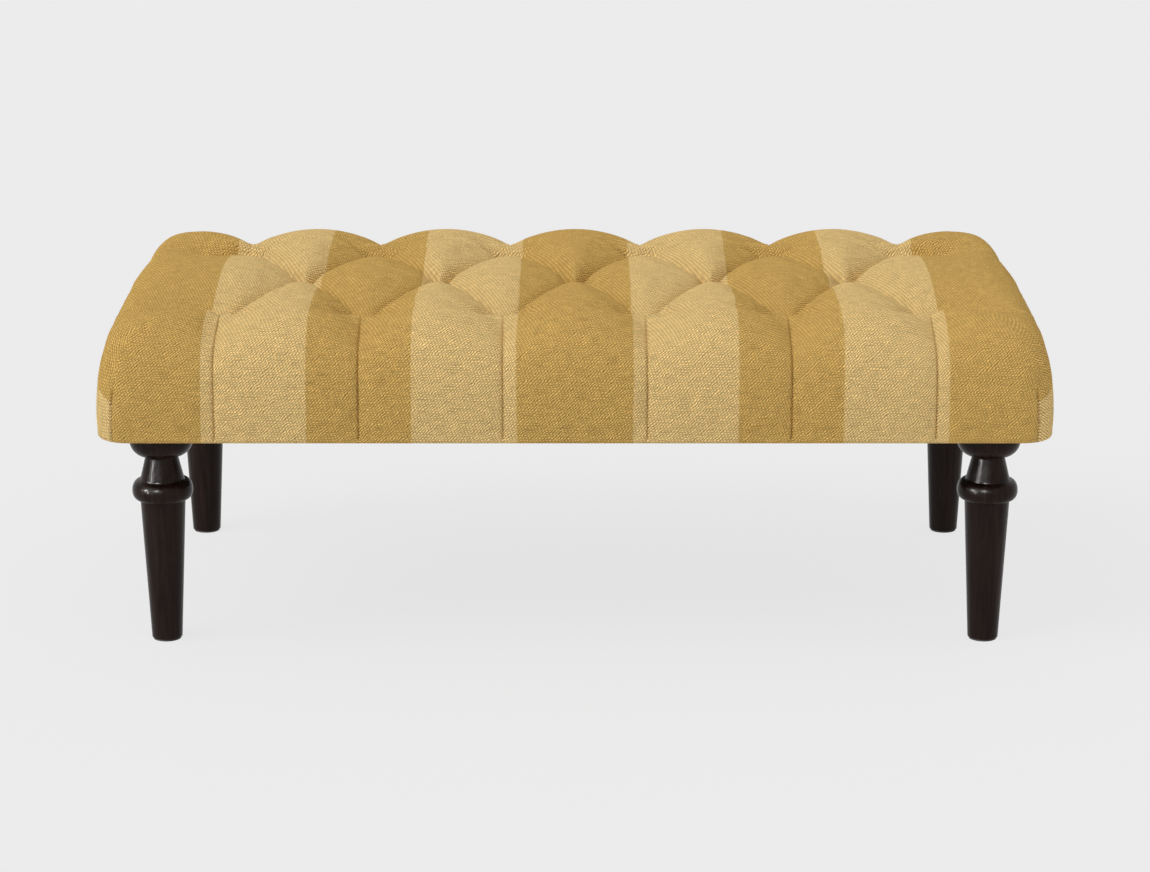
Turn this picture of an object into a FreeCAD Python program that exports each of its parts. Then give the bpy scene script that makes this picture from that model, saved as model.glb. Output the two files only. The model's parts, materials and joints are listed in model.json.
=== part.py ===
import FreeCAD, Part
import math
import os

# Long tufted footstool: a padded seat with a diamond of sewn tufts on four turned legs.
# Millimetres. The origin is on the floor under the middle of the seat, +X runs along its
# length, -Y is the front and +Z is up.

# Seat, overall
seat_width = 1220.0
seat_depth = 664.0
seat_underside = 285.0

# Layers of the seat, from the outside in and from the floor up
cover_thickness = 1.5
batting_thickness = 15.0
foam_thickness = 57.5
deck_thickness = 12.0
rail_height = 70.0
rail_thickness = 20.0
layer_gap = 0.3

# Form of the padded seat; each station is a place where its outline is drawn
edge_round = 62.0
edge_fall = 4.0
corner_round = 40.0
tuft_end_inset = 152.0
tuft_row_inset = 140.0
outer_row_tufts = 6
tuft_depth = 36.0
tuft_flat = 12.0
tuft_dome = 1.0
pleat_rise = 9.0
seam_drop = 20.0
seam_depth = 5.0
seam_reach = 9.0
end_groove = 12.0
station_shares = (0.35, 0.65)
round_stations = 8

# Cover underneath the seat and its staples
flange_on_rail = 18.0
cover_staple_inset = 13.0
dust_edge_inset = 3.0
dust_staple_inset = 6.5
dust_thickness = 0.6
staple_spacing = 62.0
staple_crown = 10.0
staple_wire = 0.7
staple_leg = 8.0

# Tufting ties
twine_radius = 1.0
knot_radius = 2.6
knot_length = 4.0
disc_radius = 7.0
disc_thickness = 2.0
washer_radius = 12.5
washer_thickness = 2.0
foam_hole_radius = 12.0
batting_hole_radius = 9.0
deck_hole_radius = 4.0

# Braces and corner blocks of the frame
brace_thickness = 20.0
brace_height = 60.0
block_size = 80.0
block_height = 40.0
block_cut = 30.0

# Screws
screw_radius = 2.0
screw_head_radius = 4.0
screw_head_height = 2.4
screw_tip = 4.0
frame_screw_length = 50.0
deck_screw_length = 36.0
screw_row_gap = 12.0
block_screw_spacing = 50.0
deck_screw_spacing = 290.0

# Legs
leg_end_inset = 75.0
leg_front_inset = 84.0
foot_radius = 19.8
foot_chamfer = 0.8
taper_top_radius = 29.0
bead_radius = 39.3
bead_height = 32.0
neck_base_radius = 28.6
neck_top_radius = 22.6
neck_height = 28.5
bun_radius = 41.2
bun_top_radius = 35.5
bun_height = 40.5
bun_belly_drop = 16.0

# Leg fixings and glides
bolt_radius = 4.0
bolt_in_leg = 40.0
bolt_tip = 6.0
bolt_point_radius = 1.0
bolt_chamfer = 1.0
bolt_past_nut = 2.0
nut_flange_radius = 11.0
nut_flange_thickness = 1.6
nut_barrel_radius = 5.2
nut_barrel_length = 14.0
prong_count = 4
prong_width = 2.6
prong_thickness = 1.2
prong_length = 7.0
prong_circle_radius = 9.6
glide_radius = 18.0
glide_thickness = 2.0
nail_radius = 1.2
nail_length = 14.0

# Clearances
fit_clearance = 0.15
end_clearance = 0.4
leg_clearance = 0.5

# Values that follow from the sizes above
half_width = seat_width / 2
half_depth = seat_depth / 2
wrap = cover_thickness + layer_gap + batting_thickness + layer_gap
frame_x = half_width - wrap
frame_y = half_depth - wrap
inner_x = frame_x - rail_thickness
inner_y = frame_y - rail_thickness
rail_bottom = seat_underside + cover_thickness
rail_top = rail_bottom + rail_height
deck_top = rail_top + deck_thickness
seat_height = deck_top + foam_thickness + wrap
last_column = half_width - tuft_end_inset
row_y = half_depth - tuft_row_inset
pitch = 2 * last_column / (outer_row_tufts - 1)
half_pitch = pitch / 2
tuft_z = seat_height - tuft_depth
dust_top = seat_underside - staple_wire
leg_x = half_width - leg_end_inset
leg_y = half_depth - leg_front_inset
brace_x = 2.5 * half_pitch
block_top = rail_bottom + block_height
corners = [(side, end) for end in (-1, 1) for side in (-1, 1)]
corner_names = {(-1, -1): "front_left", (1, -1): "front_right", (-1, 1): "back_left", (1, 1): "back_right"}

UP = FreeCAD.Vector(0, 0, 1)
DOWN = FreeCAD.Vector(0, 0, -1)


def save(name, shape):
    """Write one sub-part; a list is a group of separate solids."""
    if isinstance(shape, list):
        shape = Part.makeCompound(shape)
    shape.exportStep("parts/" + name + ".step")
    print(name, len(shape.Solids), "solid", round(shape.Volume / 1000, 2), "cm3", shape.isValid())


def block(x0, x1, y0, y1, z0, z1):
    """A box between two corners."""
    return Part.makeBox(x1 - x0, y1 - y0, z1 - z0, FreeCAD.Vector(x0, y0, z0))


def placed(shape, position, direction):
    """A copy of a shape made along +Z from the origin, moved to a place and direction."""
    copy = shape.copy()
    copy.Placement = FreeCAD.Placement(FreeCAD.Vector(*position), FreeCAD.Rotation(UP, direction))
    return copy


def cut_near(shape, tools):
    """Cut away those tools that reach the shape's own space."""
    near = [tool for tool in tools if shape.BoundBox.intersect(tool.BoundBox)]
    return shape.cut(near) if near else shape


def spun(points):
    """A solid of revolution about Z from a chain of lines and three-point arcs in (radius, height)."""
    edges = []
    start = FreeCAD.Vector(points[0][0], 0, points[0][1])
    for step in points[1:]:
        finish = FreeCAD.Vector(step[-2], 0, step[-1])
        if len(step) == 4:
            middle = FreeCAD.Vector(step[0], 0, step[1])
            edges.append(Part.Arc(start, middle, finish).toShape())
        else:
            edges.append(Part.LineSegment(start, finish).toShape())
        start = finish
    face = Part.Face(Part.Wire(edges))
    return face.revolve(FreeCAD.Vector(0, 0, 0), UP, 360)


# The padded form

def line(a, b):
    return Part.LineSegment(FreeCAD.Vector(*a), FreeCAD.Vector(*b)).toShape()


def arc(a, b, c):
    return Part.Arc(FreeCAD.Vector(*a), FreeCAD.Vector(*b), FreeCAD.Vector(*c)).toShape()


def section(x, inset, bottom, seam):
    """The seat's outline across its depth at one place along its length.

    inset sets every padded face inwards, bottom is the height of the flat underside, and seam
    is how far the sewn seams draw the front and back faces in.
    """
    away = abs(x)
    diagonal = math.sqrt(0.5)
    top = seat_height - inset
    past_column = away - last_column
    if past_column <= 0:
        # Between the tuft columns: 0 on a column of the outer rows, 1 on one of the middle row.
        phase = 1 - abs(1 - (-past_column / half_pitch) % 2)
        pleat_y = max(row_y * (1 - phase), tuft_flat / 2)
        pleat_z = top - tuft_depth + pleat_rise * 4 * phase * (1 - phase)
        middle_z = pleat_z + max((top - pleat_z) * (1 - phase ** 2), tuft_dome)
        swell_phase = phase
    else:
        # Past the last column: the pleats run straight out to the ends and grow shallower.
        share = past_column / tuft_end_inset
        pleat_y = row_y
        pleat_z = top - tuft_depth + (tuft_depth - end_groove) * share
        middle_z = top - edge_fall * share
        swell_phase = min(past_column / half_pitch, 1.0)
    shoulder_z = top - edge_fall - seam_drop * (1 - swell_phase) ** 2
    face_y = half_depth - inset
    if swell_phase * half_pitch < seam_reach / 2:
        face_y = face_y - seam

    # The ends round over in height and at the corners in plan.
    over = max(away - (half_width - edge_round), 0.0)
    end_radius = edge_round - inset
    drop = end_radius - math.sqrt(max(end_radius ** 2 - over ** 2, 0.0))
    over = max(away - (half_width - corner_round), 0.0)
    plan_radius = corner_round - inset
    plan_drop = plan_radius - math.sqrt(max(plan_radius ** 2 - over ** 2, 0.0))
    fade = drop / end_radius
    round_y = end_radius - fade * (end_radius - plan_radius)
    face_y = face_y - plan_drop
    shoulder_y = half_depth - inset - plan_drop - round_y
    face_z = top - edge_fall - drop - round_y
    shoulder_z = shoulder_z - drop
    pleat_z = pleat_z - drop
    middle_z = middle_z - drop

    round_mid = (shoulder_y + (face_y - shoulder_y) * diagonal, face_z + (shoulder_z - face_z) * diagonal)
    slope_mid = ((shoulder_y + pleat_y) / 2, pleat_z + (shoulder_z - pleat_z) * math.sqrt(0.75))
    foot = (x, -face_y, bottom)
    edges = [
        line(foot, (x, -face_y, face_z)),
        arc((x, -face_y, face_z), (x, -round_mid[0], round_mid[1]), (x, -shoulder_y, shoulder_z)),
        arc((x, -shoulder_y, shoulder_z), (x, -slope_mid[0], slope_mid[1]), (x, -pleat_y, pleat_z)),
        arc((x, -pleat_y, pleat_z), (x, 0, middle_z), (x, pleat_y, pleat_z)),
        arc((x, pleat_y, pleat_z), (x, slope_mid[0], slope_mid[1]), (x, shoulder_y, shoulder_z)),
        arc((x, shoulder_y, shoulder_z), (x, round_mid[0], round_mid[1]), (x, face_y, face_z)),
        line((x, face_y, face_z), (x, face_y, bottom)),
        line((x, face_y, bottom), foot),
    ]
    return Part.Wire(edges)


def stations(inset):
    """Places along the length, in order, where the form's outline is drawn."""
    steps = [seam_reach] + [half_pitch * share for share in station_shares]
    places = [0.0, last_column]
    for number in range(outer_row_tufts - 1):
        column = last_column - number * half_pitch
        if number % 2 == 0:
            places += [column] + [column - step for step in steps]
        else:
            places += [column] + [column - half_pitch + step for step in steps]
    round_start = half_width - edge_round
    places += [last_column + seam_reach, (last_column + round_start) / 2]
    for number in range(round_stations + 1):
        turn = math.pi / 2 * number / round_stations
        places.append(round_start + (edge_round - inset) * math.sin(turn))
    right = sorted(set(places))
    return [-place for place in reversed(right[1:])] + right


def end_notch(inset, side, y):
    """A wedge that draws an end face in along the pleat that runs down it."""
    face_x = half_width - inset
    points = [
        FreeCAD.Vector(side * face_x, y - seam_reach, 0),
        FreeCAD.Vector(side * (face_x - seam_depth), y, 0),
        FreeCAD.Vector(side * face_x, y + seam_reach, 0),
        FreeCAD.Vector(side * seat_width, y, 0),
    ]
    return Part.Face(Part.makePolygon(points + points[:1])).extrude(UP * seat_height)


def padded_form(inset, bottom, seam):
    """The seat's solid form, set inwards by inset; without seams its sides are plain."""
    wires = [section(x, inset, bottom, seam) for x in stations(inset)]
    form = Part.makeLoft(wires, True, True)
    if seam > 0:
        form = form.cut([end_notch(inset, side, end * row_y) for side, end in corners])
    return form


def above_deck(form):
    """What of a form lies on the deck or higher."""
    return form.cut(block(-seat_width, seat_width, -seat_depth, seat_depth, 0, deck_top))


def tuft_places():
    """Centres of the sewn tufts: two outer rows and a staggered middle row."""
    outer = [(number - (outer_row_tufts - 1) / 2) * pitch for number in range(outer_row_tufts)]
    inner = [(number - (outer_row_tufts - 2) / 2) * pitch for number in range(outer_row_tufts - 1)]
    return [(x, -row_y) for x in outer] + [(x, 0) for x in inner] + [(x, row_y) for x in outer]


tufts = tuft_places()


# Screws and staples

def screw(length, spare):
    """A countersunk wood screw with its head's flat at the origin, along +Z; spare widens it to its hole."""
    radius = screw_radius + spare
    head = screw_head_radius + spare
    return spun([
        (0, 0),
        (head, 0),
        (radius, screw_head_height),
        (radius, length - screw_tip),
        (0, length + spare),
        (0, 0),
    ])


def rail_joint_screws():
    """Through the long rails into the ends of the end rails, two at each corner."""
    x = frame_x - rail_thickness / 2
    heights = [rail_bottom + block_height / 2 + screw_row_gap, rail_top - screw_row_gap]
    return [(sx * x, sy * frame_y, z, 0, -sy) for sx, sy in corners for z in heights]


def brace_screws():
    """Through the long rails into the ends of the cross braces, two at each end."""
    heights = [rail_top - brace_height + screw_row_gap, rail_top - screw_row_gap]
    return [(sx * brace_x, sy * frame_y, z, 0, -sy) for sx, sy in corners for z in heights]


def corner_block_screws():
    """Through the rails into each corner block, two from the front or back and two from the end."""
    z = rail_bottom + block_height / 2
    across = [-block_screw_spacing / 2, block_screw_spacing / 2]
    mid_x = inner_x - block_size / 2
    mid_y = inner_y - block_size / 2
    found = []
    for sx, sy in corners:
        found += [(sx * mid_x + step, sy * frame_y, z, 0, -sy) for step in across]
        found += [(sx * frame_x, sy * mid_y + step, z, -sx, 0) for step in across]
    return found


def deck_screw_places():
    """Down through the deck into the rails and the braces."""
    rail_mid_x = frame_x - rail_thickness / 2
    rail_mid_y = frame_y - rail_thickness / 2
    reach = 2 * (inner_x - block_size / 2)
    count = max(int(reach / deck_screw_spacing), 1)
    found = []
    for number in range(count + 1):
        x = -reach / 2 + reach * number / count
        found += [(x, -rail_mid_y), (x, rail_mid_y)]
    found += [(sx * rail_mid_x, sy * row_y / 2) for sx, sy in corners]
    found += [(sx * brace_x, sy * row_y / 2) for sx, sy in corners]
    return found


def level_screws(places, spare):
    tool = screw(frame_screw_length, spare)
    return [placed(tool, (x, y, z), FreeCAD.Vector(dx, dy, 0)) for x, y, z, dx, dy in places]


def deck_screws(spare):
    tool = screw(deck_screw_length, spare)
    return [placed(tool, (x, y, deck_top), DOWN) for x, y in deck_screw_places()]


def staple_places(inset):
    """Points along the underside of the rails, with the way each crown lies; none is under a leg."""
    x_line = frame_x - inset
    y_line = frame_y - inset
    found = []
    x_count = int(2 * inner_x / staple_spacing)
    y_count = int(2 * inner_y / staple_spacing)
    for number in range(x_count + 1):
        x = -inner_x + 2 * inner_x * number / x_count
        found += [(x, -y_line, True), (x, y_line, True)]
    for number in range(1, y_count):
        y = -inner_y + 2 * inner_y * number / y_count
        found += [(-x_line, y, False), (x_line, y, False)]
    return [place for place in found if not near_leg(place)]


def near_leg(place):
    """True where a staple's crown would lie under the top of a leg."""
    reach = bun_radius + leg_clearance + staple_wire
    away_x = abs(abs(place[0]) - leg_x)
    away_y = abs(abs(place[1]) - leg_y)
    if place[2]:
        away_x = max(away_x - staple_crown / 2, 0.0)
    else:
        away_y = max(away_y - staple_crown / 2, 0.0)
    return math.hypot(away_x, away_y) < reach


def staples(inset, crown_top, spare):
    """Wire staples driven up into the rails; spare widens the legs to the slots that they cut."""
    found = []
    rise = rail_bottom - crown_top + staple_leg
    wide = staple_wire / 2 + spare
    for x, y, along_x in staple_places(inset):
        half = staple_crown / 2
        parts = []
        for side in (-1, 1):
            middle = side * (half - staple_wire / 2)
            parts.append(block(middle - wide, middle + wide, -wide, wide, 0, rise + spare))
        crown = block(-half, half, -staple_wire / 2, staple_wire / 2, -staple_wire, 0)
        shape = parts[0].fuse(parts[1])
        if spare == 0:
            shape = crown.fuse(parts).removeSplitter()
        turn = 0 if along_x else 90
        shape.Placement = FreeCAD.Placement(FreeCAD.Vector(x, y, crown_top), FreeCAD.Rotation(UP, turn))
        found.append(shape)
    return found


# Frame

def rails():
    """Four boards on edge; the end rails stand between the long ones."""
    z0 = rail_bottom
    z1 = rail_top
    shapes = {
        "front_rail": block(-frame_x, frame_x, -frame_y, -inner_y, z0, z1),
        "back_rail": block(-frame_x, frame_x, inner_y, frame_y, z0, z1),
        "left_end_rail": block(-frame_x, -inner_x, -inner_y, inner_y, z0, z1),
        "right_end_rail": block(inner_x, frame_x, -inner_y, inner_y, z0, z1),
    }
    return shapes


def braces():
    """Two boards on edge across the frame, flush with the top of the rails."""
    half = brace_thickness / 2
    z0 = rail_top - brace_height
    return {
        "left_cross_brace": block(-brace_x - half, -brace_x + half, -inner_y, inner_y, z0, rail_top),
        "right_cross_brace": block(brace_x - half, brace_x + half, -inner_y, inner_y, z0, rail_top),
    }


def corner_block(sx, sy):
    """A thick block in one corner of the frame, bored for the leg's bolt and nut, its free corner cut off."""
    far_x = inner_x - block_size
    far_y = inner_y - block_size
    outline = [
        (inner_x, inner_y),
        (far_x, inner_y),
        (far_x, far_y + block_cut),
        (far_x + block_cut, far_y),
        (inner_x, far_y),
        (inner_x, inner_y),
    ]
    points = [FreeCAD.Vector(sx * x, sy * y, rail_bottom) for x, y in outline]
    shape = Part.Face(Part.makePolygon(points)).extrude(FreeCAD.Vector(0, 0, block_height))
    bore = Part.makeCylinder(bolt_radius + fit_clearance, block_height)
    shape = shape.cut(placed(bore, (sx * leg_x, sy * leg_y, rail_bottom), UP))
    return shape.cut(placed(tee_nut(fit_clearance), (sx * leg_x, sy * leg_y, block_top), UP))


def deck():
    """A plywood panel on the rails, drilled at each tuft."""
    panel = block(-frame_x, frame_x, -frame_y, frame_y, rail_top, deck_top)
    places = [FreeCAD.Vector(x, y, rail_top) for x, y in tufts]
    return panel.cut([Part.makeCylinder(deck_hole_radius, deck_thickness, place) for place in places])


# Leg fixings

def tee_nut(spare):
    """A pronged nut whose flange lies on the block at the origin; spare widens it to its recess."""
    flange = Part.makeCylinder(nut_flange_radius, nut_flange_thickness)
    barrel_foot = FreeCAD.Vector(0, 0, -nut_barrel_length)
    barrel = Part.makeCylinder(nut_barrel_radius + spare, nut_barrel_length, barrel_foot)
    prongs = []
    half = prong_width / 2 + spare
    for number in range(prong_count):
        inner = prong_circle_radius - prong_thickness / 2 - spare
        outer = prong_circle_radius + prong_thickness / 2 + spare
        prong = block(inner, outer, -half, half, -prong_length - spare, 0)
        prong.rotate(FreeCAD.Vector(0, 0, 0), UP, 360 * number / prong_count)
        prongs.append(prong)
    bore = Part.makeCylinder(
        bolt_radius + fit_clearance,
        nut_flange_thickness + nut_barrel_length,
        FreeCAD.Vector(0, 0, -nut_barrel_length),
    )
    return flange.fuse([barrel] + prongs).cut(bore)


def hanger_bolt(spare):
    """A headless bolt from the leg's bore, at the origin, up through the nut."""
    up = block_height + nut_flange_thickness + bolt_past_nut
    radius = bolt_radius + spare
    return spun([
        (0, -bolt_in_leg - spare),
        (bolt_point_radius, -bolt_in_leg - spare),
        (radius, -bolt_in_leg + bolt_tip - spare),
        (radius, up - bolt_chamfer),
        (radius - bolt_chamfer, up),
        (0, up),
        (0, -bolt_in_leg - spare),
    ])


def leg():
    """A turned leg about its own axis: tapered shaft, bead, tapered neck and bun."""
    bun_bottom = rail_bottom - bun_height
    bead_top = bun_bottom - neck_height
    bead_bottom = bead_top - bead_height
    turned = spun([
        (0, glide_thickness),
        (foot_radius - foot_chamfer, glide_thickness),
        (foot_radius, glide_thickness + foot_chamfer),
        (taper_top_radius, bead_bottom),
        (bead_radius, (bead_bottom + bead_top) / 2, neck_base_radius, bead_top),
        (neck_top_radius, bun_bottom),
        (bun_radius, rail_bottom - bun_belly_drop, bun_top_radius, rail_bottom),
        (0, rail_bottom),
        (0, glide_thickness),
    ])
    bolt_hole = placed(hanger_bolt(fit_clearance), (0, 0, rail_bottom), UP)
    nail_hole = Part.makeCylinder(
        nail_radius + fit_clearance,
        nail_length + end_clearance,
        FreeCAD.Vector(0, 0, glide_thickness),
    )
    return turned.cut([bolt_hole, nail_hole])


def glide():
    """A round foot pad with the nail that holds it in the end of the leg."""
    pad = Part.makeCylinder(glide_radius, glide_thickness)
    nail = Part.makeCylinder(nail_radius, nail_length, FreeCAD.Vector(0, 0, glide_thickness))
    return pad.fuse(nail)


# Upholstery

def leg_openings(z0, z1):
    """Round openings at the four legs, through a layer under the seat."""
    size = bun_radius + leg_clearance
    return [
        Part.makeCylinder(size, z1 - z0, FreeCAD.Vector(sx * leg_x, sy * leg_y, z0))
        for sx, sy in corners
    ]


def tuft_holes(radius):
    return [
        Part.makeCylinder(radius, seat_height - rail_top, FreeCAD.Vector(x, y, rail_top))
        for x, y in tufts
    ]


def foam():
    """The foam on the deck, with a hole at each tuft."""
    return above_deck(padded_form(wrap, seat_underside, 0.0)).cut(tuft_holes(foam_hole_radius))


def batting():
    """Polyester wadding over the foam and down the outside of the rails."""
    outer = padded_form(cover_thickness + layer_gap, rail_bottom, seam_depth)
    core_x = frame_x + layer_gap
    core_y = frame_y + layer_gap
    core = block(-core_x, core_x, -core_y, core_y, 0, deck_top)
    hollow = above_deck(padded_form(wrap - layer_gap, seat_underside, 0.0))
    return outer.cut([core, hollow]).cut(tuft_holes(batting_hole_radius))


def cover(slots):
    """The sewn cloth: a tufted shell that turns under the seat on to the rails."""
    outer = padded_form(0.0, seat_underside, seam_depth)
    inner = padded_form(cover_thickness, rail_bottom, seam_depth)
    edge_x = frame_x - flange_on_rail
    edge_y = frame_y - flange_on_rail
    opening = block(-edge_x, edge_x, -edge_y, edge_y, seat_underside, rail_bottom)
    shell = outer.cut(inner)
    return cut_near(shell.cut([opening] + leg_openings(seat_underside, rail_bottom)), slots)


def dust_cover(slots):
    """A thin black sheet under the whole frame, with an opening at each leg."""
    edge_x = frame_x - dust_edge_inset
    edge_y = frame_y - dust_edge_inset
    z0 = dust_top - dust_thickness
    sheet = block(-edge_x, edge_x, -edge_y, edge_y, z0, dust_top)
    return cut_near(sheet.cut(leg_openings(z0, dust_top)), slots)


def tuft_disc():
    """A cloth disc sewn behind each tuft; its top is at the origin."""
    return Part.makeCylinder(disc_radius, disc_thickness, FreeCAD.Vector(0, 0, -disc_thickness))


def tuft_washer():
    """A washer under the deck that the twine is tied off on; its top is at the origin."""
    ring = Part.makeCylinder(washer_radius, washer_thickness, FreeCAD.Vector(0, 0, -washer_thickness))
    bore = twine_radius + fit_clearance
    return ring.cut(Part.makeCylinder(bore, washer_thickness, FreeCAD.Vector(0, 0, -washer_thickness)))


def tuft_twine():
    """Twine from the disc through the deck and washer to its knot; the disc's underside is at the origin."""
    reach = tuft_z - cover_thickness - disc_thickness - rail_top + washer_thickness
    tie = Part.makeCylinder(twine_radius, reach, FreeCAD.Vector(0, 0, -reach))
    knot = Part.makeCylinder(knot_radius, knot_length, FreeCAD.Vector(0, 0, -reach - knot_length))
    return tie.fuse(knot)


def build():
    os.makedirs("parts", exist_ok=True)

    frame_screw_places = rail_joint_screws() + brace_screws() + corner_block_screws()
    screw_holes = level_screws(frame_screw_places, fit_clearance)
    deck_holes = deck_screws(fit_clearance)
    cover_slots = staples(cover_staple_inset, seat_underside, fit_clearance)
    dust_slots = staples(dust_staple_inset, dust_top - dust_thickness, fit_clearance)

    for name, shape in rails().items():
        save(name, cut_near(shape, screw_holes + deck_holes + cover_slots + dust_slots))
    for name, shape in braces().items():
        save(name, cut_near(shape, screw_holes + deck_holes))
    for sx, sy in corners:
        save("corner_block_" + corner_names[sx, sy], cut_near(corner_block(sx, sy), screw_holes))
    save("deck_panel", cut_near(deck(), deck_holes))
    save("rail_joint_screws", level_screws(rail_joint_screws(), 0.0))
    save("cross_brace_screws", level_screws(brace_screws(), 0.0))
    save("corner_block_screws", level_screws(corner_block_screws(), 0.0))
    save("deck_screws", deck_screws(0.0))

    turned = leg()
    pad = glide()
    nut = tee_nut(0.0)
    bolt = hanger_bolt(0.0)
    for sx, sy in corners:
        save("leg_" + corner_names[sx, sy], placed(turned, (sx * leg_x, sy * leg_y, 0), UP))
        save("glide_" + corner_names[sx, sy], placed(pad, (sx * leg_x, sy * leg_y, 0), UP))
    save("tee_nuts", [placed(nut, (sx * leg_x, sy * leg_y, block_top), UP) for sx, sy in corners])
    save("hanger_bolts", [placed(bolt, (sx * leg_x, sy * leg_y, rail_bottom), UP) for sx, sy in corners])

    save("seat_foam", foam())
    save("batting_wrap", batting())
    save("seat_cover", cover(cover_slots + dust_slots))
    disc_z = tuft_z - cover_thickness
    save("tuft_discs", [placed(tuft_disc(), (x, y, disc_z), UP) for x, y in tufts])
    save("tuft_twines", [placed(tuft_twine(), (x, y, disc_z - disc_thickness), UP) for x, y in tufts])
    save("tuft_washers", [placed(tuft_washer(), (x, y, rail_top), UP) for x, y in tufts])
    save("cover_staples", staples(cover_staple_inset, seat_underside, 0.0))
    save("dust_cover", dust_cover(dust_slots))
    save("dust_cover_staples", staples(dust_staple_inset, dust_top - dust_thickness, 0.0))


build()
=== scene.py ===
# %% [markdown]
# # A long tufted footstool
# The solids hold the wooden frame, the turned legs, the fasteners and the padding at their true size.
# This lesson dresses them: it sews a tufted cover, turns the legs with a smooth profile, and gives
# every hidden piece a finish of its own.

# %% Load the solids
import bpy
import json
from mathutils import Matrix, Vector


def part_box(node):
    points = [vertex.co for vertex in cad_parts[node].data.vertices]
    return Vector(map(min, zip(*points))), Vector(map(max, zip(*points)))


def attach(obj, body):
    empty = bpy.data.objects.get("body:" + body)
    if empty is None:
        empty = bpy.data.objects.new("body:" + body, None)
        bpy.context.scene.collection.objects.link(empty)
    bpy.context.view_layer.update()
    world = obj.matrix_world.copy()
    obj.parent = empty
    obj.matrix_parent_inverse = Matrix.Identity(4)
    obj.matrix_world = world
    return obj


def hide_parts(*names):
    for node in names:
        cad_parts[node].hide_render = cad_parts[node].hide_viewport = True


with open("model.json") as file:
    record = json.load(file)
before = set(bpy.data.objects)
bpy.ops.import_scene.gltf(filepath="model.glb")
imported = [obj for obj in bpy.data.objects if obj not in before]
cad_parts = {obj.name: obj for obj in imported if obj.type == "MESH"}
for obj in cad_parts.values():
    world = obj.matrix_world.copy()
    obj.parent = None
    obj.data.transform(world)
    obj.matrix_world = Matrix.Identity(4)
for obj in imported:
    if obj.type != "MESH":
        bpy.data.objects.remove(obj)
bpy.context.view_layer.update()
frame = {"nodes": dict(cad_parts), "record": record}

import json
import math

import bmesh
import bpy
import numpy as np
from mathutils.kdtree import KDTree

# %% [markdown]
# ## Sizes
# The dressed pieces have to sit where the solids are, so their sizes are read from the solids' boxes
# and not typed twice. The tufts are found from the small discs that are tied under the cloth.

# %% Sizes read from the solids
cover_low, cover_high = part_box("seat_cover")
disc_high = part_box("tuft_discs")[1]
leg_low, leg_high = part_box("leg_front_right")
disc_radius = 0.007
cloth_thickness = 0.0015
outer_row_tufts = 6

half_width = cover_high[0]
half_depth = cover_high[1]
hem_z = cover_low[2]
crest_z = cover_high[2]
tuft_z = disc_high[2] + cloth_thickness
last_column = disc_high[0] - disc_radius
row_y = disc_high[1] - disc_radius
half_pitch = last_column / (outer_row_tufts - 1)
tuft_depth = crest_z - tuft_z
print("tufts: pitch", round(2 * half_pitch, 4), "row", round(row_y, 4), "depth", round(tuft_depth, 4))

# %% [markdown]
# ## The edge of the seat
# Every puff runs over the edge of the seat in the same way: almost level at the top, a soft turn, a
# slightly bulged face, and a small round at the hem. One rule draws that line, a superellipse, so the
# front, the ends and the corners all share it.

# %% The crest line over the edge
quarter_turn = 0.5 * math.pi
tiny = 1e-9
# powers of the superellipse: a high first one keeps the top level, a high second one keeps the face upright
front_powers = (3.6, 3.6)
corner_powers = (5.5, 2.2)
end_powers = (8.5, 3.5)
edge_samples = 1200
widest_z = 0.314
hem_round = 0.006
flange = 0.030
# steps of the grid: over half a pitch, over the edge, down the face, round the hem, under it, and in a fan
fine = {"block": 26, "over": 34, "face": 8, "hem": 4, "flange": 2, "fan": 18}
coarse = {"block": 8, "over": 13, "face": 3, "hem": 2, "flange": 1, "fan": 6}


def between(low, high, share):
    """From low to high as share goes from 0 to 1."""
    return low + (high - low) * share


def length_along(inset, height):
    """Length of a line from its start to each of its points."""
    return np.concatenate([[0.0], np.cumsum(np.hypot(np.diff(inset), np.diff(height)))])


def edge_line(reach, powers, counts):
    """The crest line from a tuft row to the underside: inset, height, way out and length."""
    turn = quarter_turn * np.linspace(0.0, 1.0, edge_samples) ** 2
    inset = reach * (1 - np.sin(turn) ** (2 / powers[0]))
    height = between(widest_z, crest_z, np.abs(np.cos(turn)) ** (2 / powers[1]))
    length = length_along(inset, height)
    places = np.linspace(0.0, length[-1], counts["over"] + 1)
    over = (np.interp(places, length, inset), np.interp(places, length, height))
    face_steps = counts["face"] + 1
    face = (np.zeros(face_steps), np.linspace(widest_z, hem_z + hem_round, face_steps))
    quarter = np.linspace(0.0, quarter_turn, counts["hem"] + 1)
    hem = (hem_round * (1 - np.cos(quarter)), hem_z + hem_round * (1 - np.sin(quarter)))
    under_steps = counts["flange"] + 1
    under = (np.linspace(hem_round, flange, under_steps), np.full(under_steps, hem_z))
    inset = np.concatenate([over[0], face[0][1:], hem[0][1:], under[0][1:]])
    height = np.concatenate([over[1], face[1][1:], hem[1][1:], under[1][1:]])
    along = length_along(inset, height)
    run_i = np.gradient(inset, along)
    run_z = np.gradient(height, along)
    size = np.hypot(run_i, run_z)
    out_i = run_z / size
    out_z = -run_i / size
    # the line starts level, so panels that meet at the tuft row share their points
    out_i[0] = 0.0
    out_z[0] = 1.0
    return {"inset": inset, "z": height, "out_i": out_i, "out_z": out_z, "along": along}


front_reach = half_depth - row_y
end_reach = half_width - last_column
front_length = edge_line(front_reach, front_powers, fine)["along"][-1]
print("edge line:", round(front_length, 3), "m long")

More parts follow.
